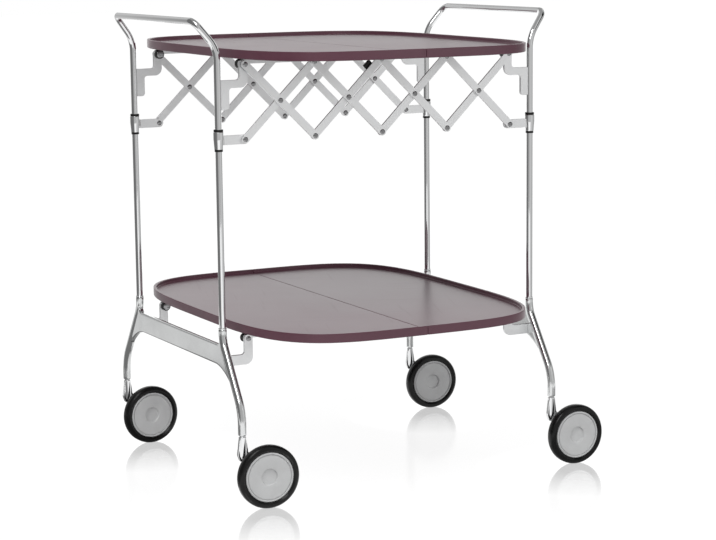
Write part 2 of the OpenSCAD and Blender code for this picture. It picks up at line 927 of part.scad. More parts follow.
module tyre(left, front) {
    inner = disc_d / 2;
    half = tyre_w / 2;
    color(black)
        at_castor(left, front)
            translate([trail, -wheel_side, wheel_r])
                rotate([90, 0, 0])
                    rotate_extrude()
                        intersection() {
                            translate([inner, -half])
                                square([wheel_r - inner, tyre_w]);
                            union() {
                                translate([0, -half])
                                    square([wheel_r - shoulder_r, tyre_w]);
                                translate([0, shoulder_r - half])
                                    square([wheel_r, tyre_w - 2 * shoulder_r]);
                                for (s = [-1, 1])
                                    translate([wheel_r - shoulder_r, s * (half - shoulder_r)])
                                        circle(shoulder_r);
                            }
                        }
}

translate([-middle_x, 0, 0]) {
    end_casting(true);  // left_casting
    end_casting(false);  // right_casting
    handle_tube(true);  // left_handle_tube
    handle_tube(false);  // right_handle_tube
    ring_nuts(true);  // left_ring_nuts
    ring_nuts(false);  // right_ring_nuts
    top_brackets(true);  // left_top_brackets
    top_brackets(false);  // right_top_brackets
    low_brackets(true);  // left_low_brackets
    low_brackets(false);  // right_low_brackets
    hinge_pins(true);  // left_hinge_pins
    hinge_pins(false);  // right_hinge_pins
    collars(true);  // left_collars
    collars(false);  // right_collars
    collar_rings(true);  // left_collar_rings
    collar_rings(false);  // right_collar_rings
    falling_bar(1);  // falling_bar_1
    falling_bar(2);  // falling_bar_2
    falling_bar(3);  // falling_bar_3
    falling_bar(4);  // falling_bar_4
    rising_bar(1);  // rising_bar_1
    rising_bar(2);  // rising_bar_2
    rising_bar(3);  // rising_bar_3
    rising_bar(4);  // rising_bar_4
    falling_rivets(1);  // falling_rivets_1
    falling_rivets(2);  // falling_rivets_2
    falling_rivets(3);  // falling_rivets_3
    falling_rivets(4);  // falling_rivets_4
    rising_rivets(1);  // rising_rivets_1
    rising_rivets(2);  // rising_rivets_2
    rising_rivets(3);  // rising_rivets_3
    rising_rivets(4);  // rising_rivets_4
    bar_buffer();
    tray_half(true, top_tray_height);  // top_left_tray
    tray_half(false, top_tray_height);  // top_right_tray
    tray_half(true, low_tray_height);  // low_left_tray
    tray_half(false, low_tray_height);  // low_right_tray
    rails(true, top_pivot_z);  // top_left_rails
    rails(false, top_pivot_z);  // top_right_rails
    rails(true, low_pivot_z);  // low_left_rails
    rails(false, low_pivot_z);  // low_right_rails
    bushes(true, top_pivot_z);  // top_left_bushes
    bushes(false, top_pivot_z);  // top_right_bushes
    bushes(true, low_pivot_z);  // low_left_bushes
    bushes(false, low_pivot_z);  // low_right_bushes
    middle_pins(top_pivot_z);  // top_middle_pins
    middle_pins(low_pivot_z);  // low_middle_pins
    fork(true, true);  // front_left_fork
    fork(true, false);  // rear_left_fork
    fork(false, true);  // front_right_fork
    fork(false, false);  // rear_right_fork
    wheel(true, true);  // front_left_wheel
    wheel(true, false);  // rear_left_wheel
    wheel(false, true);  // front_right_wheel
    wheel(false, false);  // rear_right_wheel
    tyre(true, true);  // front_left_tyre
    tyre(true, false);  // rear_left_tyre
    tyre(false, true);  // front_right_tyre
    tyre(false, false);  // rear_right_tyre
}
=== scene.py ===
"""A folding serving trolley: its finishes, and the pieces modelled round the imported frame.

Laid out as an add-on with one operator for each group of pieces. All lengths are metres.
X runs from the left end frame to the right one, Y from the front to the rear, Z up.
"""
import json
import math

import bmesh
import bpy
from bpy.props import FloatProperty, FloatVectorProperty, PointerProperty
from mathutils import Matrix, Vector


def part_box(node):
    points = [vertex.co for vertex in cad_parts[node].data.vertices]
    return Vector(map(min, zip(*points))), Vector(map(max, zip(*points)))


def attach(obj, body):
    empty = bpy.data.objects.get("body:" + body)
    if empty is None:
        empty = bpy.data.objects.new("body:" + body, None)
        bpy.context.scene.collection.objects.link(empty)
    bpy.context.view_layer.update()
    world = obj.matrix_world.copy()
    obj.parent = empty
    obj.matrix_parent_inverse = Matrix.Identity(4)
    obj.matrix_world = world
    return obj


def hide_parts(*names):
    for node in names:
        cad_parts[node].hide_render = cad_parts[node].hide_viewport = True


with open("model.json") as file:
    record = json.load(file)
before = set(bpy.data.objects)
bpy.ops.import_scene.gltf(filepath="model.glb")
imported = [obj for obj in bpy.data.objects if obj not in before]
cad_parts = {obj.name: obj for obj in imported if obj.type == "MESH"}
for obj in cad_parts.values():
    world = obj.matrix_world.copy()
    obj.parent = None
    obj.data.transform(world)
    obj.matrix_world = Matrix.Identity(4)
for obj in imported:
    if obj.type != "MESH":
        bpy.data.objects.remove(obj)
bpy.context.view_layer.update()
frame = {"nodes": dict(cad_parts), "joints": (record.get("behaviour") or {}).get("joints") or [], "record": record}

bl_info = {
    "name": "Folding serving trolley",
    "version": (1, 0, 0),
    "blender": (4, 5, 0),
    "location": "View3D > Sidebar > Trolley",
    "description": "Models and finishes a folding serving trolley round its packed frame",
    "category": "Add Mesh",
}

SIDES = ("left", "right")
ENDS = ("front", "rear")
LEVELS = ("top", "low")
MM = 0.001
WHITE = (1.0, 1.0, 1.0, 1.0)


def length(name, description, default):
    """A property that holds a length in metres."""
    return FloatProperty(name=name, description=description, default=default, min=0.0, unit="LENGTH",
                         precision=5)


def share(name, description, default):
    """A property from 0 to 1."""
    return FloatProperty(name=name, description=description, default=default, min=0.0, max=1.0)


def colour(name, description, default):
    """A property that holds a linear colour."""
    return FloatVectorProperty(name=name, description=description, default=default, size=3, min=0.0, max=1.0,
                               subtype="COLOR")


class TrolleySizes(bpy.types.PropertyGroup):
    """Sizes of the modelled pieces"""

    tube_diameter: length("Tube", "Outer diameter of the handle tubes", 0.0105)
    lean_height: length("Lean height", "Height of the corner where a handle tube leans out", 0.6915)
    lean_bend: length("Lean bend", "Middle radius of the bend above a post", 0.050)
    grip_inset: length("Grip inset", "How far each end of the grip is drawn in from its post", 0.0095)
    grip_bend: length("Grip bend", "Middle radius of the bend at each end of the grip", 0.0165)
    collar_diameter: length("Collar", "Largest diameter of a sliding collar", 0.016)
    leg_diameter: length("Leg", "Diameter of the cast legs", 0.013)
    leg_upper_corner: length("Upper leg corner", "Height of the corner of a leg's upper bend", 0.2455)
    leg_lower_corner: length("Lower leg corner", "Height of the corner of a leg's lower bend", 0.148)
    leg_upper_bend: length("Upper leg bend", "Middle radius of a leg's upper bend", 0.040)
    leg_lower_bend: length("Lower leg bend", "Middle radius of a leg's lower bend", 0.070)
    web_thickness: length("Web", "Thickness of the web between two legs", 0.008)
    web_top: length("Web top", "Height of the web's upper edge", 0.239)
    web_bottom: length("Web bottom", "Height of the web's lower edge", 0.207)
    web_arch: length("Web arch", "Radius of the arches under the web", 0.085)
    web_corner: length("Web corner", "Radius of the web's upper corners", 0.010)
    web_round: length("Web edges", "Rounding of the web's edges", 0.0028)
    lip_round: length("Lip rounding", "Rounding of the edges of a tray's lip", 0.0012)
    tyre_diameter: length("Tyre", "Diameter of a wheel over its tyre", 0.098)
    tyre_width: length("Tyre width", "Width of a tyre", 0.019)
    tyre_shoulder: length("Tyre shoulder", "Rounding of a tyre's shoulders", 0.0075)
    disc_diameter: length("Disc", "Diameter of a wheel disc", 0.077)
    disc_width: length("Disc width", "Width of a wheel disc at its edge", 0.017)
    disc_ring: length("Disc ring", "Width of the raised ring round a wheel disc", 0.0032)
    disc_dish: length("Disc dish", "Depth of a wheel disc's face inside its ring", 0.001)
    disc_recess: length("Disc recess", "Radius of the round recess in a wheel disc", 0.0135)
    disc_recess_depth: length("Recess depth", "Depth of that recess", 0.003)
    disc_recess_wall: length("Recess wall", "Width of the slope round that recess", 0.0022)
    disc_groove: length("Disc groove", "Depth of the groove inside the ring", 0.0011)
    disc_web: length("Disc web", "Depth of the web's back behind a disc's face", 0.006)
    hub_diameter: length("Hub", "Diameter of the hub behind a wheel disc", 0.018)
    hub_end: length("Hub end", "Distance of a hub's inner end from the wheel's pivot", 0.0033)
    axle_bore: length("Axle bore", "Diameter of the axle's bore in a hub", 0.0081)
    axle_bore_depth: length("Bore depth", "How far that bore goes on into the web", 0.0011)
    tyre_flank: length("Tyre flank", "Width of the slope from a tyre's side to its disc", 0.0034)
    tyre_flank_depth: length("Flank depth", "Depth of that slope", 0.0022)
    tyre_seat: length("Tyre seat", "Width of the flat between that slope and the disc", 0.0008)
    tyre_lip_round: length("Tyre lip", "Rounding of the edge where that slope begins", 0.0012)
    nut_round: length("Nut rounding", "Rounding of the edges of ring nuts", 0.0003)
    buffer_round: length("Buffer rounding", "Rounding of the edges of the buffer", 0.0008)
    casting_voxel: length("Casting voxel", "Fineness of the skin of a casting", 0.0009)
    fork_voxel: length("Fork voxel", "Fineness of the skin of a fork", 0.0005)
    plate_round: length("Plate rounding", "Rounding of the edges of bars and brackets", 0.0005)
    head_dome: length("Head dome", "Height of the dome on pin and rivet heads", 0.001)
    head_least: length("Least head", "Least radius of a pin's end that is domed", 0.0035)


class TrolleyFinishes(bpy.types.PropertyGroup):
    """Colours and gloss of the materials"""

    chrome_colour: colour("Chrome", "Colour of the chrome plating", (0.88, 0.885, 0.89))
    chrome_roughness: share("Chrome roughness", "Roughness of the chrome plating", 0.05)
    cast_colour: colour("Cast aluminium", "Colour of the end castings", (0.77, 0.78, 0.78))
    cast_roughness: share("Casting roughness", "Roughness of the end castings", 0.14)
    steel_colour: colour("Satin steel", "Colour of bars, brackets and rails", (0.81, 0.815, 0.82))
    steel_roughness: share("Steel roughness", "Roughness of bars, brackets and rails", 0.38)
    # Kept dark as painted shade: this colour stands in for the dark reflections in the domed pin and rivet heads.
    pin_colour_with_painted_shade: colour("Pins", "Colour of pins and rivets", (0.32, 0.32, 0.325))
    pin_roughness: share("Pin roughness", "Roughness of pins and rivets", 0.05)
    tray_colour: colour("Tray", "Colour of the trays", (0.078, 0.026, 0.041))
    tray_roughness: share("Tray roughness", "Roughness of the trays", 0.30)
    black_colour: colour("Black plastic", "Colour of bushes, collar rings and buffer", (0.004, 0.004, 0.004))
    disc_colour: colour("Wheel disc", "Colour of the wheel discs", (0.475, 0.48, 0.482))
    tyre_colour: colour("Tyre", "Colour of the tyres", (0.004, 0.004, 0.004))


class TrolleyStage(bpy.types.PropertyGroup):
    """Camera, light and floor"""

    camera_place: FloatVectorProperty(name="Camera", description="Place of the camera", size=3, unit="LENGTH",
                                      default=(-1.56503, -3.08869, 0.85624))
    azimuth: FloatProperty(name="Azimuth", description="Direction the camera looks, turned from +Y to +X",
                           default=math.radians(27.241), unit="ROTATION")
    pitch: FloatProperty(name="Pitch", description="How far the camera looks down",
                         default=math.radians(9.001), unit="ROTATION")
    roll: FloatProperty(name="Roll", description="How far the camera is rolled", default=-0.01095, unit="ROTATION")
    lens: FloatProperty(name="Lens", description="Focal length for a 36 mm wide sensor", default=106.02)
    world_level: FloatProperty(name="World light", description="Level of the light from all round", default=0.62)
    key_power: FloatProperty(name="Key light", description="Power of the large light over the trolley", default=60.0)
    fill_power: FloatProperty(name="Fill light", description="Power of the light beside the camera", default=22.0)
    floor_lift: share("Floor lift", "How much of the floor's shading is plain white to the eye", 0.80)
    floor_mirror: share("Floor mirror", "How much the floor mirrors where a wheel stands", 0.36)
    mirror_reach: length("Mirror reach", "How far in front of a wheel the floor stops mirroring", 0.17)


# Node groups and materials


def link(tree, *pairs):
    """Joins outputs to inputs in a node tree."""
    for source, target in pairs:
        tree.links.new(source, target)


def node_group(name, output, **floats):
    """A new shader node group with a vector input, float inputs and one float output."""
    tree = bpy.data.node_groups.new(name, "ShaderNodeTree")
    tree.interface.new_socket("Vector", in_out="INPUT", socket_type="NodeSocketVector")
    for label, value in floats.items():
        tree.interface.new_socket(label, in_out="INPUT", socket_type="NodeSocketFloat").default_value = value
    tree.interface.new_socket(output, in_out="OUTPUT", socket_type="NodeSocketFloat")
    return tree, tree.nodes.new("NodeGroupInput"), tree.nodes.new("NodeGroupOutput")


def add(tree, kind, **settings):
    """A node with its settings. A setting named in_X sets the input socket X."""
    node = tree.nodes.new(kind)
    for key, value in settings.items():
        if key.startswith("in_"):
            node.inputs[key[3:].replace("_", " ")].default_value = value
        else:
            setattr(node, key, value)
    return node


def new_material(name):
    """A material with nodes, and its tree."""
    material = bpy.data.materials.new(name)
    material.use_nodes = True
    return material, material.node_tree


def build_fine_grain():
    """Height of a fine, even grain, as moulded plastic and cast metal have."""
    tree, source, target = node_group("Fine grain", "Height", Scale=900.0)
    fine = add(tree, "ShaderNodeTexNoise", in_Detail=3.0, in_Roughness=0.6)
    link(tree, (source.outputs["Vector"], fine.inputs["Vector"]), (source.outputs["Scale"], fine.inputs["Scale"]),
         (fine.outputs["Fac"], target.inputs["Height"]))
    return tree


def build_handling_marks():
    """Soft, uneven patches from wiping and handling, from 0 to 1."""
    tree, source, target = node_group("Handling marks", "Mask", Scale=14.0, Stretch=1.0)
    stretch = add(tree, "ShaderNodeCombineXYZ", in_X=1.0, in_Y=1.0)
    squeeze = add(tree, "ShaderNodeVectorMath", operation="MULTIPLY")
    broad = add(tree, "ShaderNodeTexNoise", in_Detail=5.0, in_Roughness=0.62)
    ramp = add(tree, "ShaderNodeMapRange", in_From_Min=0.38, in_From_Max=0.72)
    link(tree, (source.outputs["Stretch"], stretch.inputs["Z"]), (source.outputs["Vector"], squeeze.inputs[0]),
         (stretch.outputs["Vector"], squeeze.inputs[1]), (squeeze.outputs["Vector"], broad.inputs["Vector"]),
         (source.outputs["Scale"], broad.inputs["Scale"]), (broad.outputs["Fac"], ramp.inputs["Value"]),
         (ramp.outputs["Result"], target.inputs["Mask"]))
    return tree


def build_brushed_lines():
    """Fine parallel lines along X and Z, as a rolled and brushed strip has."""
    tree, source, target = node_group("Brushed lines", "Lines", Scale=700.0)
    squeeze = add(tree, "ShaderNodeVectorMath", operation="MULTIPLY")
    squeeze.inputs[1].default_value = (0.04, 1.0, 1.0)
    lines = add(tree, "ShaderNodeTexNoise", in_Detail=4.0, in_Roughness=0.7)
    link(tree, (source.outputs["Vector"], squeeze.inputs[0]), (squeeze.outputs["Vector"], lines.inputs["Vector"]),
         (source.outputs["Scale"], lines.inputs["Scale"]), (lines.outputs["Fac"], target.inputs["Lines"]))
    return tree


def build_scuffs():
    """Sparse fine scratches in crossing directions, from 0 to 1."""
    tree, source, target = node_group("Scuffs", "Mask", Scale=60.0)
    masks = []
    for turn in (0.4, 1.9):
        spin = add(tree, "ShaderNodeVectorRotate", rotation_type="Z_AXIS", in_Angle=turn)
        squeeze = add(tree, "ShaderNodeVectorMath", operation="MULTIPLY")
        squeeze.inputs[1].default_value = (0.05, 1.0, 1.0)
        noise = add(tree, "ShaderNodeTexNoise", in_Detail=2.0, in_Roughness=0.5)
        ramp = add(tree, "ShaderNodeMapRange", in_From_Min=0.66, in_From_Max=0.74)
        link(tree, (source.outputs["Vector"], spin.inputs["Vector"]), (spin.outputs["Vector"], squeeze.inputs[0]),
             (squeeze.outputs["Vector"], noise.inputs["Vector"]), (source.outputs["Scale"], noise.inputs["Scale"]),
             (noise.outputs["Fac"], ramp.inputs["Value"]))
        masks.append(ramp)
    both = add(tree, "ShaderNodeMath", operation="MAXIMUM")
    link(tree, (masks[0].outputs["Result"], both.inputs[0]), (masks[1].outputs["Result"], both.inputs[1]),
         (both.outputs["Value"], target.inputs["Mask"]))
    return tree


GROUP_BUILDERS = {
    "Fine grain": build_fine_grain,
    "Handling marks": build_handling_marks,
    "Brushed lines": build_brushed_lines,
    "Scuffs": build_scuffs,
}


def shared_group(name):
    """The node group of that name, built the first time it is asked for."""
    return bpy.data.node_groups.get(name) or GROUP_BUILDERS[name]()


class Finish:
    """A material under construction: a Principled BSDF fed by the shared groups."""

    def __init__(self, name, base, metallic, **sockets):
        self.material, self.tree = new_material(name)
        self.shader = self.tree.nodes["Principled BSDF"]
        self.shader.inputs["Base Color"].default_value = (*base, 1.0)
        self.shader.inputs["Metallic"].default_value = metallic
        for label, value in sockets.items():
            self.shader.inputs[label.replace("_", " ")].default_value = value
        self.place = self.tree.nodes.new("ShaderNodeTexCoord").outputs["Object"]
        self.base = base

    def group(self, name, **values):
        """Places a shared group on the piece's own coordinates."""
        node = self.tree.nodes.new("ShaderNodeGroup")
        node.node_tree = shared_group(name)
        link(self.tree, (self.place, node.inputs["Vector"]))
        for label, value in values.items():
            node.inputs[label].default_value = value
        return node.outputs[0]

    def roughness(self, factors, low, high):
        """Roughness from low to high, moved by the mean of the factors."""
        total = factors[0]
        for extra in factors[1:]:
            plus = add(self.tree, "ShaderNodeMath", operation="ADD")
            link(self.tree, (total, plus.inputs[0]), (extra, plus.inputs[1]))
            total = plus.outputs["Value"]
        spread = add(self.tree, "ShaderNodeMapRange", in_From_Max=float(len(factors)), in_To_Min=low,
                     in_To_Max=high)
        link(self.tree, (total, spread.inputs["Value"]), (spread.outputs["Result"], self.shader.inputs["Roughness"]))

    def tint(self, factor, change):
        """Base colour from the base itself to the base times change."""
        mix = add(self.tree, "ShaderNodeMix", data_type="RGBA")
        mix.inputs[6].default_value = (*self.base, 1.0)
        mix.inputs[7].default_value = (*[min(1.0, c * change) for c in self.base], 1.0)
        link(self.tree, (factor, mix.inputs["Factor"]), (mix.outputs[2], self.shader.inputs["Base Color"]))

    def bump(self, height, strength, distance):
        """Relief from a height."""
        bump = add(self.tree, "ShaderNodeBump", in_Strength=strength, in_Distance=distance)
        link(self.tree, (height, bump.inputs["Height"]), (bump.outputs["Normal"], self.shader.inputs["Normal"]))


def chrome():
    """Bright plating with faint wiping marks."""
    look = bpy.context.scene.trolley_finishes
    finish = Finish("bright chrome", look.chrome_colour, 1.0)
    marks = finish.group("Handling marks", Scale=22.0, Stretch=0.4)
    scuffs = finish.group("Scuffs", Scale=90.0)
    finish.roughness([marks, scuffs], look.chrome_roughness * 0.6, look.chrome_roughness * 2.4)
    finish.tint(marks, 0.95)
    return finish.material


def cast_aluminium():
    """Polished casting with a trace of its grain."""
    look = bpy.context.scene.trolley_finishes
    finish = Finish("cast aluminium", look.cast_colour, 1.0)
    marks = finish.group("Handling marks", Scale=16.0, Stretch=1.0)
    grain = finish.group("Fine grain", Scale=1400.0)
    finish.roughness([marks, grain], look.cast_roughness * 0.8, look.cast_roughness * 1.5)
    finish.tint(marks, 0.93)
    finish.bump(grain, 0.10, 0.00006)
    return finish.material


def satin_steel():
    """Flat steel with a satin finish and faint brushed lines."""
    look = bpy.context.scene.trolley_finishes
    finish = Finish("satin steel", look.steel_colour, 1.0)
    marks = finish.group("Handling marks", Scale=30.0, Stretch=1.0)
    lines = finish.group("Brushed lines", Scale=900.0)
    finish.roughness([marks, lines], look.steel_roughness * 0.85, look.steel_roughness * 1.25)
    finish.tint(marks, 0.93)
    finish.bump(lines, 0.08, 0.00005)
    return finish.material


def pin_steel():
    """Pins and rivets, with their base colour darkened as painted shade that stands in for the dark reflections in
    their domed heads.
    """
    look = bpy.context.scene.trolley_finishes
    # The dark base colour is painted shade for the heads' dark reflections, not the steel's own tone.
    finish = Finish("pin steel", look.pin_colour_with_painted_shade, 1.0)
    marks = finish.group("Handling marks", Scale=160.0, Stretch=1.0)
    finish.roughness([marks], look.pin_roughness, look.pin_roughness * 2.0)
    finish.tint(marks, 0.85)
    return finish.material


def plum_plastic():
    """Dark plum moulded plastic with a satin gloss, fine grain and light scuffs."""
    look = bpy.context.scene.trolley_finishes
    finish = Finish("plum plastic", look.tray_colour, 0.0, IOR=1.5)
    marks = finish.group("Handling marks", Scale=7.0, Stretch=1.0)
    scuffs = finish.group("Scuffs", Scale=110.0)
    grain = finish.group("Fine grain", Scale=1600.0)
    finish.roughness([marks, grain, scuffs], look.tray_roughness * 0.96, look.tray_roughness * 1.14)
    finish.tint(marks, 1.10)
    finish.bump(grain, 0.16, 0.00005)
    return finish.material


def black_plastic():
    """Matte black moulded plastic."""
    look = bpy.context.scene.trolley_finishes
    finish = Finish("black plastic", look.black_colour, 0.0, IOR=1.36)
    grain = finish.group("Fine grain", Scale=1800.0)
    finish.roughness([grain], 0.38, 0.55)
    finish.tint(grain, 1.3)
    finish.bump(grain, 0.2, 0.00006)
    return finish.material


def disc_plastic():
    """Pale grey moulded wheel disc."""
    look = bpy.context.scene.trolley_finishes
    finish = Finish("pale grey plastic", look.disc_colour, 0.0, IOR=1.47)
    marks = finish.group("Handling marks", Scale=40.0, Stretch=1.0)
    grain = finish.group("Fine grain", Scale=1500.0)
    finish.roughness([marks, grain], 0.42, 0.62)
    finish.tint(marks, 0.92)
    finish.bump(grain, 0.14, 0.00006)
    return finish.material


def tyre_rubber():
    """Smooth black rubber with dusty patches."""
    look = bpy.context.scene.trolley_finishes
    finish = Finish("tyre rubber", look.tyre_colour, 0.0, IOR=1.34)
    marks = finish.group("Handling marks", Scale=60.0, Stretch=1.0)
    grain = finish.group("Fine grain", Scale=1100.0)
    finish.roughness([marks, grain], 0.14, 0.32)
    finish.tint(marks, 1.5)
    finish.bump(grain, 0.25, 0.00008)
    return finish.material


MATERIAL_BUILDERS = {
    "chrome": chrome,
    "cast_aluminium": cast_aluminium,
    "satin_steel": satin_steel,
    "pin_steel": pin_steel,
    "tray_plastic": plum_plastic,
    "black_plastic": black_plastic,
    "wheel_plastic": disc_plastic,
    "tyre_rubber": tyre_rubber,
}
MADE_MATERIALS = {}


def material_for(slot):
    """The material of a slot of the record, made the first time it is asked for."""
    if slot not in MADE_MATERIALS:
        MADE_MATERIALS[slot] = MATERIAL_BUILDERS[slot]()
    return MADE_MATERIALS[slot]


# Places read from the frame

JOINTS = {joint["name"]: joint for joint in frame["joints"]}
BODY_OF = {node: body for body, nodes in frame["record"]["behaviour"]["bodies"].items() for node in nodes}
SLOT_OF = {part["node"]: part["material_slot"] for part in frame["record"]["subparts"]}


def sizes():
    """The sizes of the modelled pieces."""
    return bpy.context.scene.trolley_sizes


def outward(side):
    """-1 on the left and 1 on the right."""
    return -1 if side == "left" else 1


def post_place(side):
    """X of a side's posts, and the distance of each post from the middle plane."""
    low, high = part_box(f"{side}_collars")
    radius = sizes().collar_diameter / 2
    x = low.x + radius if side == "left" else high.x - radius
    return x, high.y - radius


# Making meshes and pieces


def plain_mesh(bm, name):
    """A mesh from a bmesh, which is freed."""
    mesh = bpy.data.meshes.new(name)
    bm.to_mesh(mesh)
    bm.free()
    return mesh


def to_mesh(bm, name, sharp_angle):
    """A mesh from a bmesh, smooth apart from edges sharper than the angle, with faces pointing outwards."""
    bmesh.ops.recalc_face_normals(bm, faces=bm.faces)
    mesh = plain_mesh(bm, name)
    smooth(mesh, sharp_angle)
    return mesh


def smooth(mesh, sharp_angle):
    """Shades a mesh smooth, with edges sharper than the angle kept sharp."""
    mesh.polygons.foreach_set("use_smooth", [True] * len(mesh.polygons))
    mesh.set_sharp_from_angle(angle=math.radians(sharp_angle))


def new_object(name, data):
    """An object in the scene."""
    obj = bpy.data.objects.new(name, data)
    bpy.context.scene.collection.objects.link(obj)
    return obj


def piece(name, mesh, node, slot=None):
    """An object for a mesh that stands for a CAD node, on its body and with its finish."""
    slot = slot or SLOT_OF[node]
    obj = new_object(name, mesh)
    mesh.materials.clear()
    mesh.materials.append(material_for(slot))
    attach(obj, BODY_OF[node])
    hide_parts(node)
    return obj


def flat_faces_kept(obj):
    """Turns the normals of rounded edges towards their large neighbours, so that flat faces look flat."""
    even = obj.modifiers.new("even normals", "WEIGHTED_NORMAL")
    even.mode = "FACE_AREA"
    even.weight = 50
    even.keep_sharp = True


def grown_together(mesh, voxel, iterations):
    """A mesh's overlapping forms as one skin with soft fillets."""
    obj = new_object("work in progress", mesh)
    remesh = obj.modifiers.new("grow together", "REMESH")
    remesh.mode = "VOXEL"
    remesh.voxel_size = voxel
    soften = obj.modifiers.new("soften", "SMOOTH")
    soften.factor = 0.5
    soften.iterations = iterations
    graph = bpy.context.evaluated_depsgraph_get()
    skin = bpy.data.meshes.new_from_object(obj.evaluated_get(graph))
    bpy.data.objects.remove(obj)
    smooth(skin, 60)
    return skin


def ring_edges(verts):
    """The edges whose two ends are both among the given vertices."""
    chosen = set(verts)
    return [edge for edge in {e for v in verts for e in v.link_edges} if set(edge.verts) <= chosen]


def extrude_ring(bm, edges, offset):
    """Extrudes a ring of edges along an offset and returns the new ring."""
    made = bmesh.ops.extrude_edge_only(bm, edges=edges)["geom"]
    verts = [g for g in made if isinstance(g, bmesh.types.BMVert)]
    bmesh.ops.translate(bm, verts=verts, vec=offset)
    return ring_edges(verts)


def turned_to(direction):
    """The rotation that turns +Z to a direction."""
    return direction.to_track_quat("Z", "Y").to_matrix().to_4x4()


def sweep_bar(bm, corners, bends, radius, segments=32, bend_steps=14):
    """A round bar through the corners, with a bend of the given middle radius at each inner corner."""
    ways = [(b - a).normalized() for a, b in zip(corners, corners[1:])]
    start = Matrix.Translation(corners[0]) @ turned_to(ways[0])
    made = bmesh.ops.create_circle(bm, segments=segments, radius=radius, matrix=start)
    ring = ring_edges(made["verts"])
    bmesh.ops.edgenet_fill(bm, edges=ring)
    here = corners[0]
    for i, bend in enumerate(bends):
        turn = ways[i].angle(ways[i + 1])
        trim = bend * math.tan(turn / 2)
        bend_start = corners[i + 1] - ways[i] * trim
        ring = extrude_ring(bm, ring, bend_start - here)
        side = (ways[i + 1] - ways[i] * math.cos(turn)).normalized()
        last = bmesh.ops.spin(bm, geom=ring, cent=bend_start + side * bend, axis=ways[i].cross(side),
                              angle=turn, steps=bend_steps, use_merge=False)["geom_last"]
        ring = ring_edges([g for g in last if isinstance(g, bmesh.types.BMVert)])
        here = corners[i + 1] + ways[i + 1] * trim
    ring = extrude_ring(bm, ring, corners[-1] - here)
    bmesh.ops.edgenet_fill(bm, edges=ring)


def lathe(bm, profile, place, axis, steps=72):
    """Spins a closed profile of (radius, distance along the axis) round an axis through a place."""
    frame_matrix = Matrix.Translation(place) @ turned_to(axis)
    verts = [bm.verts.new(frame_matrix @ Vector((r, 0, along))) for r, along in profile]
    edges = [bm.edges.new(pair) for pair in zip(verts, verts[1:] + verts[:1])]
    bmesh.ops.spin(bm, geom=verts + edges, cent=place, axis=axis, angle=math.tau, steps=steps, use_merge=True)
    bmesh.ops.remove_doubles(bm, verts=bm.verts, dist=1e-7)


def rings_at(bm, place, axis, radius, along, spread=2e-5):
    """The ring edges at a radius and a distance along an axis."""
    found = []
    for edge in bm.edges:
        near = True
        for vert in edge.verts:
            offset = vert.co - place
            height = offset.dot(axis)
            near = near and abs(height - along) < spread
            near = near and abs((offset - axis * height).length - radius) < spread
        if near:
            found.append(edge)
    return found


def round_edges(bm, edges, width, segments):
    """Bevels edges to a round."""
    bmesh.ops.bevel(bm, geom=edges, offset=width, offset_type="OFFSET", segments=segments, profile=0.5,
                    affect="EDGES", material=-1, clamp_overlap=True)


def sharp_edges(bm, angle):
    """The edges at which two faces meet at more than the angle."""
    return [e for e in bm.edges if len(e.link_faces) == 2 and e.calc_face_angle(0.0) > math.radians(angle)]


def cleaned_copy(node):
    """A bmesh of a CAD node's solids with its doubles merged and its flat faces joined."""
    bm = bmesh.new()
    bm.from_mesh(frame["nodes"][node].data)
    bmesh.ops.remove_doubles(bm, verts=bm.verts, dist=2e-6)
    bmesh.ops.dissolve_limit(bm, angle_limit=math.radians(0.5), verts=bm.verts, edges=bm.edges)
    return bm


def dressed(node, rounding, segments=2, angle=35):
    """A piece from a copy of a CAD node, with its sharp edges rounded."""
    bm = cleaned_copy(node)
    round_edges(bm, sharp_edges(bm, angle), rounding, segments)
    flat_faces_kept(piece(f"{node}_dressed", to_mesh(bm, node, 40), node))


def is_head(face):
    """Whether a face is the round end of a pin's head: square to the pin, round and wide enough."""
    nearly = 0.98
    middle = face.calc_center_bounds()
    reach = [(v.co - middle).length for v in face.verts]
    return abs(face.normal.y) > nearly and min(reach) > nearly * max(reach) > nearly * sizes().head_least


def pins(node):
    """Pins or rivets from a copy of a CAD node, with domed heads."""
    rise = sizes().head_dome
    steps = 6
    bm = cleaned_copy(node)
    for head in [f for f in bm.faces if is_head(f)]:
        radius = max((v.co - head.calc_center_bounds()).length for v in head.verts)
        bmesh.ops.translate(bm, verts=head.verts, vec=-rise * head.normal)
        for i in range(1, steps):
            last, turn = (math.radians(90 * k / steps) for k in (i - 1, i))
            bmesh.ops.inset_individual(bm, faces=[head], thickness=radius * (math.cos(last) - math.cos(turn)),
                                       depth=rise * (math.sin(turn) - math.sin(last)), use_even_offset=True)
    piece(f"{node}_domed", to_mesh(bm, node, 50), node)


# End frames


def handle_tube(side):
    """A handle tube: post, lean, grip, lean and post in one bent tube."""
    s = sizes()
    x, y = post_place(side)
    low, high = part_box(f"{side}_handle_tube")
    radius = s.tube_diameter / 2
    grip_x = (low.x if side == "left" else high.x) - outward(side) * radius
    grip_y = y - s.grip_inset
    grip_z = high.z - radius
    corners = [Vector(p) for p in (
        (x, -y, low.z), (x, -y, s.lean_height), (grip_x, -grip_y, grip_z),
        (grip_x, grip_y, grip_z), (x, y, s.lean_height), (x, y, low.z))]
    bm = bmesh.new()
    sweep_bar(bm, corners, [s.lean_bend, s.grip_bend, s.grip_bend, s.lean_bend], radius)
    piece(f"{side}_bent_tube", to_mesh(bm, "bent tube", 40), f"{side}_handle_tube")


def leg_corners(side, end):
    """The corners of a cast leg's middle line, from its top to its foot."""
    s = sizes()
    x, y = post_place(side)
    stem = Vector(JOINTS[f"{end}_{side}_swivel"]["pos_m"])
    sign = -1 if end == "front" else 1
    low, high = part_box(f"{side}_casting")
    return [Vector((x, sign * y, high.z)), Vector((x, sign * y, s.leg_upper_corner)),
            Vector((stem.x, stem.y, s.leg_lower_corner)), Vector((stem.x, stem.y, low.z))]


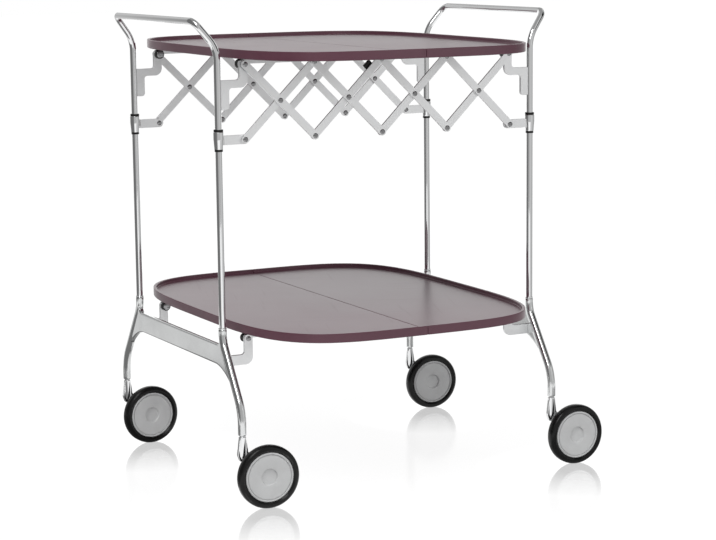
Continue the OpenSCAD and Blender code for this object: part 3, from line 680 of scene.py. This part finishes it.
def web_slab(bm, side):
    """The web between the legs, with an arch at each leg, as a plate through the legs' middle lines."""
    s = sizes()
    x, y = post_place(side)
    _, upper, lower, _ = leg_corners(side, "rear")
    slope = (lower.y - upper.y) / (upper.z - lower.z)
    tilt = math.atan(slope)
    share_of_leg = 0.72
    inset = s.leg_diameter / 2 * share_of_leg

    def leg_y(z):
        return upper.y + (upper.z - z) * slope

    arch_end = s.web_arch / math.tan(math.pi / 4 + tilt / 2)
    low_z = s.web_bottom - (arch_end + MM) * math.cos(tilt)
    high_z = s.web_top + s.web_corner + MM
    inner = inset / math.cos(tilt)
    half = [(y - inset, s.web_top, s.web_corner), (y - inset, high_z, 0), (y, high_z, 0), (y, upper.z, 0),
            (leg_y(low_z), low_z, 0), (leg_y(low_z) - inner, low_z, 0),
            (leg_y(s.web_bottom) - inner, s.web_bottom, s.web_arch)]
    outline = half + [(-py, pz, r) for py, pz, r in reversed(half)]
    corners = [Vector((x - s.web_thickness / 2, py, pz)) for py, pz, _ in outline]
    verts = [bm.verts.new(corner) for corner in corners]
    bm.faces.new(verts)
    for i, (vert, (_, _, radius)) in enumerate(zip(verts, outline)):
        if radius > 0:
            before = corners[i - 1] - corners[i]
            after = corners[(i + 1) % len(corners)] - corners[i]
            bmesh.ops.bevel(bm, geom=[vert], offset=radius / math.tan(before.angle(after) / 2),
                            offset_type="OFFSET", segments=18, profile=0.5, affect="VERTICES", material=-1)
    slab_face = max(bm.faces, key=lambda f: len(f.verts))
    made = bmesh.ops.extrude_face_region(bm, geom=[slab_face])["geom"]
    bmesh.ops.translate(bm, verts=[g for g in made if isinstance(g, bmesh.types.BMVert)],
                        vec=(s.web_thickness, 0, 0))
    long_edges = [e for e in sharp_edges(bm, 60) if abs(e.verts[0].co.x - e.verts[1].co.x) < 1e-6]
    round_edges(bm, long_edges, s.web_round, 5)


def casting(side):
    """An end casting: both legs and the web, grown together with soft fillets."""
    s = sizes()
    whole = bmesh.new()
    for part in (*ENDS, "web"):
        bm = bmesh.new()
        if part == "web":
            web_slab(bm, side)
        else:
            sweep_bar(bm, leg_corners(side, part), [s.leg_upper_bend, s.leg_lower_bend], s.leg_diameter / 2,
                      segments=40, bend_steps=18)
        bmesh.ops.recalc_face_normals(bm, faces=bm.faces)
        mesh = plain_mesh(bm, part)
        whole.from_mesh(mesh)
        bpy.data.meshes.remove(mesh)
    skin = grown_together(plain_mesh(whole, "casting"), s.casting_voxel, 12)
    piece(f"{side}_cast_frame", skin, f"{side}_casting")


# Collars


def collar_set(side):
    """The two sliding collars of a side: turned chrome barrels with flat satin arms to the linkage."""
    s = sizes()
    x, _ = post_place(side)
    cut = Vector((x - outward(side) * (s.collar_diameter / 2 + s.plate_round), 0, 0))
    for part, keep, slot in (("barrels", outward(side), "chrome"), ("arms", -outward(side), "satin_steel")):
        bm = cleaned_copy(f"{side}_collars")
        made = bmesh.ops.bisect_plane(bm, geom=bm.verts[:] + bm.edges[:] + bm.faces[:], plane_co=cut,
                                      plane_no=(keep, 0, 0), clear_inner=True)["geom_cut"]
        bmesh.ops.holes_fill(bm, edges=[g for g in made if isinstance(g, bmesh.types.BMEdge)])
        rounded = [e for e in sharp_edges(bm, 35) if any(abs(v.co.x - cut.x) > MM / 10 for v in e.verts)]
        round_edges(bm, rounded, s.plate_round * 0.6, 2)
        flat_faces_kept(piece(f"{side}_collar_{part}", to_mesh(bm, part, 40), f"{side}_collars", slot=slot))
    dressed(f"{side}_collar_rings", s.plate_round * 0.8)


# Castors


def castor_axes(side, end):
    """The stem's foot, the direction in which the castor trails, the wheel's outward axis and its centre."""
    stem = Vector(JOINTS[f"{end}_{side}_swivel"]["pos_m"])
    spin = JOINTS[f"{end}_{side}_spin"]
    axis = Vector(spin["axis"]).normalized()
    centre = Vector(spin["pos_m"])
    trail = Vector((-axis.y, axis.x, 0.0))
    if trail.dot(centre - stem) < 0:
        trail = -trail
    return stem, trail, axis, centre


def fork(side, end):
    """A castor fork: a round neck that flattens into a broad shoulder and runs down to the axle."""
    node = f"{end}_{side}_fork"
    skin = grown_together(to_mesh(cleaned_copy(node), "fork", 40), sizes().fork_voxel, 14)
    piece(f"{node}_forged", skin, node)


def wheel(side, end):
    """A wheel disc: a raised ring with a fine groove inside it, a shallow dish and a soft round recess."""
    s = sizes()
    _, _, axis, centre = castor_axes(side, end)
    node = f"{end}_{side}_wheel"
    middle = (centre_of_wheel(f"{end}_{side}_tyre", centre, axis) - centre).dot(axis)
    face = middle + s.disc_width / 2
    back = middle - s.disc_width / 2
    dish = face - s.disc_dish
    groove = dish - s.disc_groove
    floor = dish - s.disc_recess_depth
    edge = s.disc_diameter / 2
    inner = edge - s.disc_ring
    hub = s.hub_diameter / 2
    bore = s.axle_bore / 2
    web_back = face - s.disc_web
    bore_end = web_back + s.axle_bore_depth
    steps = 10
    slope = []
    for i in range(steps + 1):
        rise = 0.5 - 0.5 * math.cos(math.pi * i / steps)
        slope.append((s.disc_recess - s.disc_recess_wall * (1 - i / steps), floor + s.disc_recess_depth * rise))
    groove_outline = [(inner - 1.2 * MM, dish), (inner - 0.8 * MM, groove), (inner - 0.1 * MM, groove)]
    ring_outline = [
        (inner + 0.3 * MM, face - 0.5 * MM), (inner + 0.7 * MM, face - 0.1 * MM), (inner + 1.2 * MM, face),
        (edge - 1.2 * MM, face - 0.2 * MM), (edge - 0.4 * MM, face - 0.8 * MM), (edge, face - 1.6 * MM)]
    back_outline = [(edge, back), (inner, back), (inner, web_back), (hub, web_back), (hub, s.hub_end),
                    (bore, s.hub_end), (bore, bore_end), (0, bore_end)]
    profile = [(0, floor), *slope, *groove_outline, *ring_outline, *back_outline]
    bm = bmesh.new()
    lathe(bm, profile, centre, axis, steps=96)
    piece(f"{node}_disc", to_mesh(bm, "wheel disc", 28), node)


def tyre(side, end):
    """A tyre with round shoulders."""
    s = sizes()
    _, _, axis, centre = castor_axes(side, end)
    node = f"{end}_{side}_tyre"
    middle = centre_of_wheel(node, centre, axis)
    half = s.tyre_width / 2
    inner = s.disc_diameter / 2
    outer = s.tyre_diameter / 2
    sunk = half - s.tyre_flank_depth
    side_outline = [(inner, sunk), (inner + s.tyre_seat, sunk), (inner + s.tyre_flank, half), (outer, half)]
    bm = bmesh.new()
    lathe(bm, [(r, -along) for r, along in side_outline] + side_outline[::-1], middle, axis, steps=96)
    bmesh.ops.recalc_face_normals(bm, faces=bm.faces)
    shoulders = [e for along in (-half, half) for e in rings_at(bm, middle, axis, outer, along)]
    round_edges(bm, shoulders, s.tyre_shoulder, 7)
    lips = [e for along in (-half, half) for e in rings_at(bm, middle, axis, inner + s.tyre_flank, along)]
    round_edges(bm, lips, s.tyre_lip_round, 3)
    piece(f"{node}_round", to_mesh(bm, "tyre", 40), node)


def centre_of_wheel(node, centre, axis):
    """The middle of a tyre: its box's centre, brought onto the axle."""
    low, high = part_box(node)
    middle = (low + high) / 2
    return centre + axis * (middle - centre).dot(axis)


# Operators


class TrolleyOperator:
    """What the trolley's operators share"""

    bl_options = {"REGISTER", "UNDO"}

    def execute(self, context):
        self.make()
        return {"FINISHED"}


class TROLLEY_OT_camera(TrolleyOperator, bpy.types.Operator):
    """Sets the camera where the photograph was taken"""

    bl_idname = "trolley.camera"
    bl_label = "Camera"

    def make(self):
        stage = bpy.context.scene.trolley_stage
        a, p, roll = stage.azimuth, stage.pitch, stage.roll
        forward = Vector((math.sin(a) * math.cos(p), math.cos(a) * math.cos(p), -math.sin(p)))
        right = Vector((math.cos(a), -math.sin(a), 0))
        up = right.cross(forward)
        rolled_right = right * math.cos(roll) + up * math.sin(roll)
        rolled_up = up * math.cos(roll) - right * math.sin(roll)
        camera = new_object("camera", bpy.data.cameras.new("camera"))
        turn = Matrix((rolled_right, rolled_up, -forward)).transposed()
        camera.matrix_world = Matrix.Translation(stage.camera_place) @ turn.to_4x4()
        camera.data.lens = stage.lens
        camera.data.sensor_width = 36.0
        camera.data.sensor_fit = "HORIZONTAL"
        camera.data.clip_start = 0.05
        camera.data.clip_end = 60.0
        bpy.context.scene.camera = camera


class TROLLEY_OT_end_frames(TrolleyOperator, bpy.types.Operator):
    """Makes the handle tubes, the end castings and what is fixed to them"""

    bl_idname = "trolley.end_frames"
    bl_label = "End frames"

    def make(self):
        s = sizes()
        for side in SIDES:
            handle_tube(side)
            casting(side)
            dressed(f"{side}_ring_nuts", s.nut_round)
            dressed(f"{side}_top_brackets", s.plate_round)
            dressed(f"{side}_low_brackets", s.plate_round)
            pins(f"{side}_hinge_pins")


class TROLLEY_OT_collars(TrolleyOperator, bpy.types.Operator):
    """Makes the sliding collars with their black rings"""

    bl_idname = "trolley.collars"
    bl_label = "Sliding collars"

    def make(self):
        for side in SIDES:
            collar_set(side)


class TROLLEY_OT_linkages(TrolleyOperator, bpy.types.Operator):
    """Makes the bars, rivets and buffer of both scissor linkages"""

    bl_idname = "trolley.linkages"
    bl_label = "Scissor linkages"

    def make(self):
        s = sizes()
        for i in range(1, 5):
            for kind in ("falling", "rising"):
                dressed(f"{kind}_bar_{i}", s.plate_round)
                pins(f"{kind}_rivets_{i}")
        dressed("bar_buffer", s.buffer_round)


class TROLLEY_OT_trays(TrolleyOperator, bpy.types.Operator):
    """Makes both trays with the rails, bushes and pins under them"""

    bl_idname = "trolley.trays"
    bl_label = "Trays"

    def make(self):
        s = sizes()
        for level in LEVELS:
            for side in SIDES:
                dressed(f"{level}_{side}_tray", s.lip_round, 3, 50)
                dressed(f"{level}_{side}_rails", s.plate_round)
                dressed(f"{level}_{side}_bushes", s.plate_round)
            dressed(f"{level}_middle_pins", s.plate_round)


class TROLLEY_OT_castors(TrolleyOperator, bpy.types.Operator):
    """Makes the four castors: fork, wheel disc and tyre"""

    bl_idname = "trolley.castors"
    bl_label = "Castors"

    def make(self):
        for side in SIDES:
            for end in ENDS:
                fork(side, end)
                wheel(side, end)
                tyre(side, end)


def white_to_seen_rays(tree, plain, white):
    """Mixes plain and white shaders so that camera, glossy and transmission rays meet the white one."""
    path = tree.nodes.new("ShaderNodeLightPath")
    first = add(tree, "ShaderNodeMath", operation="MAXIMUM")
    either = add(tree, "ShaderNodeMath", operation="MAXIMUM")
    mix = tree.nodes.new("ShaderNodeMixShader")
    link(tree, (path.outputs["Is Camera Ray"], first.inputs[0]), (path.outputs["Is Glossy Ray"], first.inputs[1]),
         (first.outputs["Value"], either.inputs[0]), (path.outputs["Is Transmission Ray"], either.inputs[1]),
         (either.outputs["Value"], mix.inputs["Fac"]), (plain, mix.inputs[1]), (white, mix.inputs[2]))
    return mix.outputs["Shader"]


def polish_beside_wheels(tree):
    """How much the floor mirrors: most where the wheels stand, and nothing a hand's length in front of them."""
    stage = bpy.context.scene.trolley_stage
    full = 0.03
    ahead = Vector((-math.sin(stage.azimuth), -math.cos(stage.azimuth), 0)) * 0.04
    place = tree.nodes.new("ShaderNodeNewGeometry").outputs["Position"]
    most = None
    for side in SIDES:
        for end in ENDS:
            low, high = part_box(f"{end}_{side}_tyre")
            reach = add(tree, "ShaderNodeVectorMath", operation="DISTANCE")
            reach.inputs[1].default_value = ((low.x + high.x) / 2 + ahead.x, (low.y + high.y) / 2 + ahead.y, 0.0)
            fade = add(tree, "ShaderNodeMapRange", in_From_Min=full, in_From_Max=stage.mirror_reach,
                       in_To_Min=stage.floor_mirror, in_To_Max=0.0)
            link(tree, (place, reach.inputs[0]), (reach.outputs["Value"], fade.inputs["Value"]))
            if most is None:
                most = fade.outputs["Result"]
                continue
            larger = add(tree, "ShaderNodeMath", operation="MAXIMUM")
            link(tree, (most, larger.inputs[0]), (fade.outputs["Result"], larger.inputs[1]))
            most = larger.outputs["Value"]
    return most


def floor_material():
    """A pale floor that is nearly white to the eye, with a soft shadow and the wheels' faint reflections."""
    material, tree = new_material("studio floor")
    shader = tree.nodes["Principled BSDF"]
    shader.inputs["Base Color"].default_value = (0.86, 0.86, 0.86, 1.0)
    shader.inputs["Roughness"].default_value = 0.13
    shader.inputs["IOR"].default_value = 1.6
    glow = add(tree, "ShaderNodeEmission", in_Strength=1.06, in_Color=WHITE)
    lift = add(tree, "ShaderNodeMixShader", in_Fac=bpy.context.scene.trolley_stage.floor_lift)
    mirror = add(tree, "ShaderNodeBsdfGlossy", in_Roughness=0.07, in_Color=WHITE)
    polish = tree.nodes.new("ShaderNodeMixShader")
    link(tree, (shader.outputs["BSDF"], lift.inputs[1]), (glow.outputs["Emission"], lift.inputs[2]),
         (polish_beside_wheels(tree), polish.inputs["Fac"]), (lift.outputs["Shader"], polish.inputs[1]),
         (mirror.outputs["BSDF"], polish.inputs[2]))
    seen = white_to_seen_rays(tree, shader.outputs["BSDF"], polish.outputs["Shader"])
    link(tree, (seen, tree.nodes["Material Output"].inputs["Surface"]))
    return material


def area_light(name, place, target, width, height, power):
    """A soft rectangular light."""
    light = bpy.data.lights.new(name, "AREA")
    light.shape = "RECTANGLE"
    light.size = width
    light.size_y = height
    light.energy = power
    obj = new_object(name, light)
    obj.location = place
    obj.rotation_euler = (Vector(target) - Vector(place)).to_track_quat("-Z", "Y").to_euler()


def studio_card(name, start, end, foot, top, levels):
    """A bent grey card round the set, which only reflections see, from above or from inside. Angles
    are degrees to the right from the direction of the camera, foot and top are (radius, height),
    and levels are (angle, level) along the card."""
    bm = bmesh.new()
    azimuth = bpy.context.scene.trolley_stage.azimuth
    first = azimuth - math.radians(start)
    ends = [bm.verts.new((-math.sin(first) * radius, -math.cos(first) * radius, height))
            for radius, height in (foot, top)]
    edge = bm.edges.new(ends)
    bmesh.ops.spin(bm, geom=[*ends, edge], cent=(0, 0, 0), axis=(0, 0, 1), angle=math.radians(end - start),
                   steps=max(2, round((end - start) / 4)), use_merge=False)
    if bm.faces[:][0].normal.z < 0:
        bmesh.ops.reverse_faces(bm, faces=bm.faces)
    material, tree = new_material(name)
    place = tree.nodes.new("ShaderNodeTexCoord").outputs["Object"]
    turned = add(tree, "ShaderNodeVectorRotate", rotation_type="Z_AXIS", in_Angle=azimuth - math.pi / 2)
    split = tree.nodes.new("ShaderNodeSeparateXYZ")
    angle = add(tree, "ShaderNodeMath", operation="ARCTAN2")
    share_of_turn = add(tree, "ShaderNodeMapRange", in_From_Min=-math.pi, in_From_Max=math.pi)
    ramp = tree.nodes.new("ShaderNodeValToRGB")
    for i, (degrees, level) in enumerate(levels):
        place_on_ramp = degrees / 360
        stop = ramp.color_ramp.elements[i] if i < 2 else ramp.color_ramp.elements.new(place_on_ramp)
        stop.position = place_on_ramp
        stop.color = (level, level, level, 1.0)
    glow = add(tree, "ShaderNodeEmission", in_Strength=1.0)
    clear = tree.nodes.new("ShaderNodeBsdfTransparent")
    under = add(tree, "ShaderNodeMath", operation="MULTIPLY")
    under.inputs[1].default_value = 1.0 if foot[1] == top[1] else 0.0
    sides = tree.nodes.new("ShaderNodeMixShader")
    link(tree, (tree.nodes.new("ShaderNodeNewGeometry").outputs["Backfacing"], under.inputs[0]),
         (under.outputs["Value"], sides.inputs["Fac"]), (glow.outputs["Emission"], sides.inputs[1]),
         (clear.outputs["BSDF"], sides.inputs[2]))
    link(tree, (place, turned.inputs["Vector"]), (turned.outputs["Vector"], split.inputs["Vector"]),
         (split.outputs["Y"], angle.inputs[0]), (split.outputs["X"], angle.inputs[1]),
         (angle.outputs["Value"], share_of_turn.inputs["Value"]),
         (share_of_turn.outputs["Result"], ramp.inputs["Fac"]), (ramp.outputs["Color"], glow.inputs["Color"]),
         (sides.outputs["Shader"], tree.nodes["Material Output"].inputs["Surface"]))
    seen_in_reflections(name, bm, material)


def ceiling(height, radius, level):
    """A grey ceiling, which only reflections see."""
    bm = bmesh.new()
    bmesh.ops.create_circle(bm, cap_ends=True, segments=32, radius=radius,
                            matrix=Matrix.Translation((0, 0, height)))
    material, tree = new_material("ceiling")
    glow = add(tree, "ShaderNodeEmission", in_Strength=1.0, in_Color=(level, level, level, 1.0))
    link(tree, (glow.outputs["Emission"], tree.nodes["Material Output"].inputs["Surface"]))
    seen_in_reflections("ceiling", bm, material)


def stage_object(name, bm, material):
    """A stage object from a bmesh."""
    mesh = plain_mesh(bm, name)
    mesh.materials.append(material)
    obj = new_object(name, mesh)
    return obj


def seen_in_reflections(name, bm, material):
    """A stage object that neither the camera nor soft light meets."""
    obj = stage_object(name, bm, material)
    obj.visible_camera = False
    obj.visible_diffuse = False
    obj.visible_shadow = False


class TROLLEY_OT_stage(TrolleyOperator, bpy.types.Operator):
    """Makes the pale floor, the white background and the soft studio light"""

    bl_idname = "trolley.stage"
    bl_label = "Stage"

    def make(self):
        scene = bpy.context.scene
        stage = scene.trolley_stage
        scene.view_settings.view_transform = "Standard"
        bm = bmesh.new()
        bmesh.ops.create_grid(bm, x_segments=1, y_segments=1, size=20.0)
        stage_object("floor", bm, floor_material())

        world = bpy.data.worlds.new("studio")
        scene.world = world
        world.use_nodes = True
        tree = world.node_tree
        plain = tree.nodes["Background"]
        plain.inputs["Color"].default_value = WHITE
        plain.inputs["Strength"].default_value = stage.world_level
        white = add(tree, "ShaderNodeBackground", in_Strength=1.0, in_Color=WHITE)
        seen = white_to_seen_rays(tree, plain.outputs["Background"], white.outputs["Background"])
        link(tree, (seen, tree.nodes["World Output"].inputs["Surface"]))

        area_light("key light", (-1.6, -1.2, 2.6), (0, 0, 0.4), 1.8, 1.8, stage.key_power)
        area_light("fill light", (1.8, -2.4, 1.4), (0, 0, 0.4), 1.2, 1.6, stage.fill_power)
        studio_card("right_wall", 30, 146, (1.7, 0.0), (1.7, 3.0),
                    ((30, 0.55), (60, 0.62), (100, 0.36), (130, 0.5), (146, 0.6)))
        studio_card("right_dark", 58, 110, (1.65, 1.0), (1.65, 2.6), ((58, 0.02), (110, 0.02)))
        studio_card("left_wall", 214, 338, (1.7, 0.0), (1.7, 3.0),
                    ((214, 0.6), (232, 0.55), (252, 0.16), (318, 0.17), (338, 0.34)))
        studio_card("front_wall", -40, 40, (3.35, 0.0), (3.35, 3.0), ((0, 0.5), (20, 0.5)))
        studio_card("back_window", 150, 210, (3.4, 0.0), (3.4, 0.9), ((150, 1.45), (210, 1.45)))
        studio_card("back_window_top", 150, 210, (3.4, 0.9), (3.4, 1.5), ((150, 1.15), (210, 1.15)))
        studio_card("back_wall", 148, 212, (3.3, 1.5), (3.3, 3.0), ((148, 0.5), (212, 0.5)))
        studio_card("left_floor", 225, 325, (0.3, MM), (1.0, MM), ((225, 0.45), (250, 0.2), (310, 0.2), (325, 0.5)))
        studio_card("left_floor_beyond", 214, 275, (1.0, MM), (1.7, MM), ((214, 0.75), (275, 0.75)))
        studio_card("right_floor", 35, 135, (0.3, MM), (1.0, MM), ((35, 0.7), (55, 0.4), (110, 0.35), (135, 0.5)))
        ceiling(3.0, 4.6, 0.32)


STEPS = (TROLLEY_OT_camera, TROLLEY_OT_end_frames, TROLLEY_OT_collars, TROLLEY_OT_linkages, TROLLEY_OT_trays,
         TROLLEY_OT_castors, TROLLEY_OT_stage)


class TROLLEY_PT_panel(bpy.types.Panel):
    """Lists the trolley's operators and settings"""

    bl_idname = "TROLLEY_PT_panel"
    bl_label = "Serving trolley"
    bl_space_type = "VIEW_3D"
    bl_region_type = "UI"
    bl_category = "Trolley"

    def draw(self, context):
        for step in STEPS:
            self.layout.operator(step.bl_idname)
        for group in (context.scene.trolley_sizes, context.scene.trolley_finishes, context.scene.trolley_stage):
            box = self.layout.box()
            for name in group.__annotations__:
                box.prop(group, name)


CLASSES = (TrolleySizes, TrolleyFinishes, TrolleyStage, *STEPS, TROLLEY_PT_panel)


def register():
    for cls in CLASSES:
        bpy.utils.register_class(cls)
    bpy.types.Scene.trolley_sizes = PointerProperty(type=TrolleySizes)
    bpy.types.Scene.trolley_finishes = PointerProperty(type=TrolleyFinishes)
    bpy.types.Scene.trolley_stage = PointerProperty(type=TrolleyStage)


def unregister():
    for name in ("trolley_sizes", "trolley_finishes", "trolley_stage"):
        delattr(bpy.types.Scene, name)
    for cls in reversed(CLASSES):
        bpy.utils.unregister_class(cls)


def main():
    register()
    for step in STEPS:
        group, name = step.bl_idname.split(".")
        getattr(getattr(bpy.ops, group), name)()


if __name__ == "__main__":
    main()
